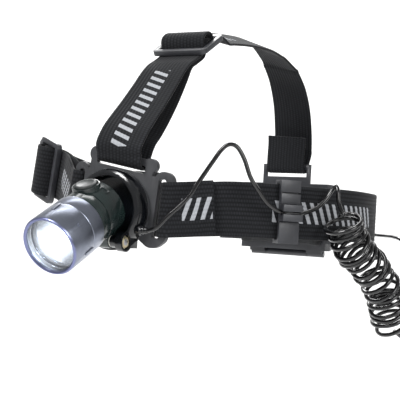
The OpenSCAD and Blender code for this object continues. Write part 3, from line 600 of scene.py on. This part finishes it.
TOP_ADJ = (0.5, -35, 82.3)
top_along = heading(90, 31)
top_out = -top_along.cross(Vector((1, 0, 0)))
LEFT_ADJ = (-61, -64.6, 15.4)
LEFT_TURN = 151.6
left_out = heading(LEFT_TURN + 90, 0)
left_along = heading(LEFT_TURN, 14.5)
LEANT = -left_out.cross(left_along)

TOP_FRONT = [Vector(p) for p in [
    (1.7, -93.1, 26.3), (1.5, -88.4, 33.5), (1.3, -82, 40), (1.2, -75, 46.8), (1, -66, 56),
    (0.8, -57.8, 64.8), (0.5, -52, 69.6)]]
TOP_BACK = [Vector(p) for p in [
    (0.8, -13, 89.4), (1.2, 4, 92.2), (1.5, 21, 94.2), (1.6, 38, 95.2), (1.6, 54, 94),
    (1.4, 69, 89), (1.2, 81.5, 79.5), (1, 90.5, 66.5), (0.6, 95.8, 51), (0.2, 98, 38)]]
LEFT_RUN = [Vector(p) for p in [
    (-76.4, -52.5, 19.2), (-78.6, -44.5, 18.4), (-82.4, -29, 16.5), (-85, -10, 13.5),
    (-84, 10, 10.5), (-78.5, 30, 7.5),
    (-69.5, 48, 4.5), (-58.5, 61, 2), (-48.5, 70, 0.5)]]

Z, X = Vector((0, 0, 1)), Vector((1, 0, 0))
ROLL_5, ROLL_10, CROWN = math.radians(5), math.radians(10), math.radians(22)
WORN = Vector((math.sin(ROLL_5), 0, math.cos(ROLL_5)))
FRONT = Vector((math.cos(ROLL_10), 0, -math.sin(ROLL_10)))
OVER = Vector((math.cos(CROWN), 0, -math.sin(CROWN)))

side_path = (wide([loop_pt(-60, 2.4), loop_pt(-63, 2.5) - 0.5 * Z, loop_pt(-66, 3) - 1.2 * Z],
                  Z, WORN)
             + wide(arc(RIGHT_BAR, LOOP_R, -54, -234, 9), WORN, WORN)
             + wide([loop_pt(t) - (1.2 - (t + 65) / 8) * Z for t in (-65, -61, -57)], WORN, Z)
             + wide([loop_pt(t) for t in range(-53, 52, 4)], Z, Z)
             + wide(arc(REAR_BAR, LOOP_R, 58, 238, 9), Z, Z)
             + wide([loop_pt(55, -2.4), loop_pt(51, -2.2), loop_pt(47, -2.1)], Z, Z))
LEAN = math.radians(8)
BENT = Vector((math.sin(LEAN), 0, math.cos(LEAN)))
left_in = placed(SEWN, LEFT_ADJ, left_along, left_out)
left_over = placed(HUMPED, LEFT_ADJ, left_along, left_out)
left_bend = [LEFT_BAR + Vector((q.x * math.cos(LEAN), q.y, -q.x * math.sin(LEAN)))
             for q in arc((0, 0, 0), LOOP_R, 63, -117, 9)]
left_path = (wide(list(reversed(left_in)), LEANT, LEANT)
             + wide([left_in[0].lerp(left_bend[0], 0.36) + 0.5 * Z,
                     left_in[0].lerp(left_bend[0], 0.7) - 0.6 * Z], LEANT, BENT)
             + wide(left_bend, BENT, BENT)
             + wide([left_bend[9].lerp(left_over[0], 0.3) - 0.6 * Z,
                     left_bend[9].lerp(left_over[0], 0.64) + 0.5 * Z], BENT, LEANT)
             + wide(left_over, LEANT, LEANT)
             + wide(smooth(LEFT_RUN, 3), LEANT * 0.6 + Z * 0.4, Z)
             + wide(arc((-REAR_BAR.x, REAR_BAR.y, 0), LOOP_R, 122, -58, 9), Z, Z)
             + wide([Vector(p) for p in [(-39.5, 72.5, 0), (-45, 68, 0.4), (-50, 63.4, 0.8)]],
                    Z, Z))
front_tan = tangents(TOP_FRONT)
inner = [TOP_FRONT[i] - (LAYER + 6.5 * math.cos(math.radians(20 * (i - 1.7))))
         * X.cross(front_tan[i]).normalized() for i in range(len(TOP_FRONT) - 1, 0, -1)]
top_path = (wide(list(reversed(placed(SEWN, TOP_ADJ, top_along, top_out))), X, X)
            + wide(inner, X, FRONT)
            + wide(arc(TOP_BAR, LOOP_R, -10, -190, 9, "yz"), FRONT, FRONT)
            + wide(TOP_FRONT, FRONT, X)
            + wide(placed(HUMPED, TOP_ADJ, top_along, top_out), X, X)
            + wide(smooth(TOP_BACK[:5], 3), X * 0.3 + OVER * 0.7, OVER)
            + wide(smooth(TOP_BACK[5:], 3), OVER * 0.8 + X * 0.2, X)
            + wide(arc((0, 91.4, 30), LOOP_R, 0, -180, 9, "yz"), X, X)
            + wide([Vector(p) for p in [(0, 88.2, 37), (0.3, 88, 43), (0.6, 87, 48)]], X, X))

# stretches of print, as (from, to, low, high) on the face that looks outwards there
BROAD, SLIM = 5, 4.4
side_web, side_len = strap("side_webbing", side_path, [
    (1, 15, BACK_FACE - BROAD, BACK_FACE + BROAD), (80, 150, -BROAD, BROAD)], "side_strap")
left_web, left_len = strap("left_webbing", left_path, [
    (66, 92, BACK_FACE - BROAD, BACK_FACE + BROAD)], "left_strap")
top_web, top_len = strap("top_webbing", top_path, [
    (104, 158, BACK_FACE - SLIM, BACK_FACE + SLIM),
    (206, 238, BACK_FACE - SLIM, BACK_FACE + SLIM)], "top_strap")
print("straps", round(side_len, 4), round(left_len, 4), round(top_len, 4))

# ---------------------------------------------------------------- pads


def puff(obj, reach=0.0011):
    """Swell a pad by cloth simulation, each point moving no further than reach."""
    start = [v.co.copy() for v in obj.data.vertices]
    cloth = obj.modifiers.new("cloth", "CLOTH")
    cloth.settings.quality = 5
    cloth.settings.mass = 0.05
    cloth.settings.use_pressure = True
    cloth.settings.uniform_pressure_force = 4
    cloth.settings.effector_weights.gravity = 0
    cloth.point_cache.frame_start = 1
    cloth.point_cache.frame_end = 20
    for f in range(1, 21):
        scene.frame_set(f)
    view = bpy.context.evaluated_depsgraph_get()
    shape = bpy.data.meshes.new_from_object(obj.evaluated_get(view))
    scene.frame_set(1)
    obj.modifiers.clear()
    middle_y = sum(v.y for v in start) / len(start)
    inward = Vector((0, -1 if middle_y > 0 else 1, 0))
    for v, was in zip(shape.vertices, start):
        d = v.co - was
        # the face against the hard part can't swell into it
        push = d.dot(inward)
        if push < 0:
            d -= push * inward
        if d.length > reach:
            d *= reach / d.length
        v.co = was + d
    obj.data = shape


def cushion(node, name):
    """A padded form from the CAD pad, swollen between its edges."""
    source = NODES[node]
    bm = bmesh.new()
    bm.from_mesh(source.data)
    bmesh.ops.remove_doubles(bm, verts=bm.verts, dist=1e-6)
    mesh = bpy.data.meshes.new(name)
    bm.to_mesh(mesh)
    bm.free()
    obj = link(name, mesh)
    obj.matrix_world = source.matrix_world.copy()
    re = obj.modifiers.new("re", "REMESH")
    re.mode = "VOXEL"
    re.voxel_size = 0.0012
    soft = obj.modifiers.new("soft", "SMOOTH")
    soft.factor = 0.5
    soft.iterations = 12
    bpy.context.view_layer.update()
    done = bpy.data.meshes.new_from_object(obj.evaluated_get(bpy.context.evaluated_depsgraph_get()))
    obj.modifiers.clear()
    obj.data = done
    puff(obj)
    finish_mesh(obj, 80)
    paint(obj, "foam")
    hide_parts(node)
    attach(obj, "headband")


cushion("forehead_pad", "forehead_cushion")
cushion("rear_pad", "rear_cushion")

# ---------------------------------------------------------------- hard parts

BODY = {n: b for b, ns in frame["record"]["behaviour"]["bodies"].items() for n in ns}
SOFTENED = {
    "front_plate": ("bracket", 0.0006), "lamp_cup": ("cup", 0.0004),
    "lamp_housing": ("housing", 0.0003), "rear_cap": ("housing", 0.0003),
    "switch_cap": ("rubber", 0.0003), "bezel": ("bezel", 0.00014), "focus_ring": ("bezel", 0.00012),
    "left_adjuster": ("frame", 0.0007), "top_adjuster": ("frame", 0.0007),
    "strap_clip": ("frame", 0.0004), "cord_clamp": ("frame", 0.0005),
    "battery_tray": ("frame", 0.0005), "battery_cover": ("frame", 0.0007),
    "front_gland": ("cup", 0.00015), "rear_gland": ("cup", 0.00015),
    "tilt_screw": ("steel", 0.0002), "tilt_nut": ("brass", 0.0003),
}
for node, (key, width) in SOFTENED.items():
    piece = softened(node, node + "_soft", width, 3)
    paint(piece, key)
    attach(piece, BODY[node])
PLAIN = {
    "cup_screws": "steel", "friction_washers": "nylon", "driver_board": "board",
    "switch_module": "frame", "heat_sink": "sink", "led_board": "white", "led_emitter": "light",
    "sleeve_oring": "rubber", "reflector": "reflector", "lens": "lens", "lens_gasket": "rubber",
    "cell_1": "cell", "cell_2": "cell", "cell_3": "cell", "contact_springs": "steel",
    "contact_plates": "steel", "cover_seal": "rubber", "cover_pin": "steel",
    "tray_screws": "steel",
}
for node, key in PLAIN.items():
    paint(NODES[node], key)

# ---------------------------------------------------------------- stage


def stage_material():
    m = Mat("stage")
    slow = m.noise(1.5, 3)
    fine = m.noise(240, 2)
    m.set("Base Color", m.mix(m.span(slow, 0.3, 0.7), rgb(0.90, 0.90, 0.90), rgb(0.93, 0.93, 0.93)))
    m.set("Roughness", 0.9)
    m.set("Normal", m.bump(fine, 0.0002, 0.2))
    return m.mat


def floor():
    """A floor that sweeps up into a wall behind the object."""
    z, far, curve_r, steps = -0.33, 2.4, 0.8, 16
    rows = [(-far, z)]
    for i in range(steps + 1):
        a = math.pi / 2 * i / steps
        rows.append((far - curve_r + curve_r * math.sin(a), z + curve_r - curve_r * math.cos(a)))
    rows.append((far, 2.6))
    verts, faces = [], []
    away = -Vector((back.x, back.y, 0)).normalized()
    across = Vector((-away.y, away.x, 0))
    for d, h in rows:
        for s in (-4, 4):
            verts.append(away * d + across * s + Vector((0, 0, h)))
    for i in range(len(rows) - 1):
        faces.append((2 * i, 2 * i + 1, 2 * i + 3, 2 * i + 2))
    mesh = bpy.data.meshes.new("stage_floor")
    mesh.from_pydata(verts, [], faces)
    obj = link("stage_floor", mesh)
    finish_mesh(obj, 60)
    obj.data.materials.append(stage_material())


floor()


def area_light(name, at, target, size, power):
    data = bpy.data.lights.new(name, "AREA")
    data.shape = "RECTANGLE"
    data.size = size
    data.size_y = size
    data.energy = power
    obj = bpy.data.objects.new(name, data)
    obj.location = at
    obj.rotation_euler = (Vector(target) - Vector(at)).to_track_quat("-Z", "Y").to_euler()
    scene.collection.objects.link(obj)


area_light("key", (-0.25, -0.9, 0.95), (0, -0.05, 0), 0.45, 19)
area_light("fill", (1.2, -0.6, 0.5), (0, 0, 0), 0.7, 13)
area_light("rim", (-0.6, 0.9, 0.9), (0, 0, 0), 0.5, 11)
area_light("wall", (-0.4, 0.5, 1.6), (-1.0, 1.9, 0.4), 1.2, 36)
world = bpy.data.worlds.new("world")
scene.world = world
world.use_nodes = True
sky = world.node_tree.nodes["Background"]
sky.inputs["Color"].default_value = (1, 1, 1, 1)
sky.inputs["Strength"].default_value = 0.5
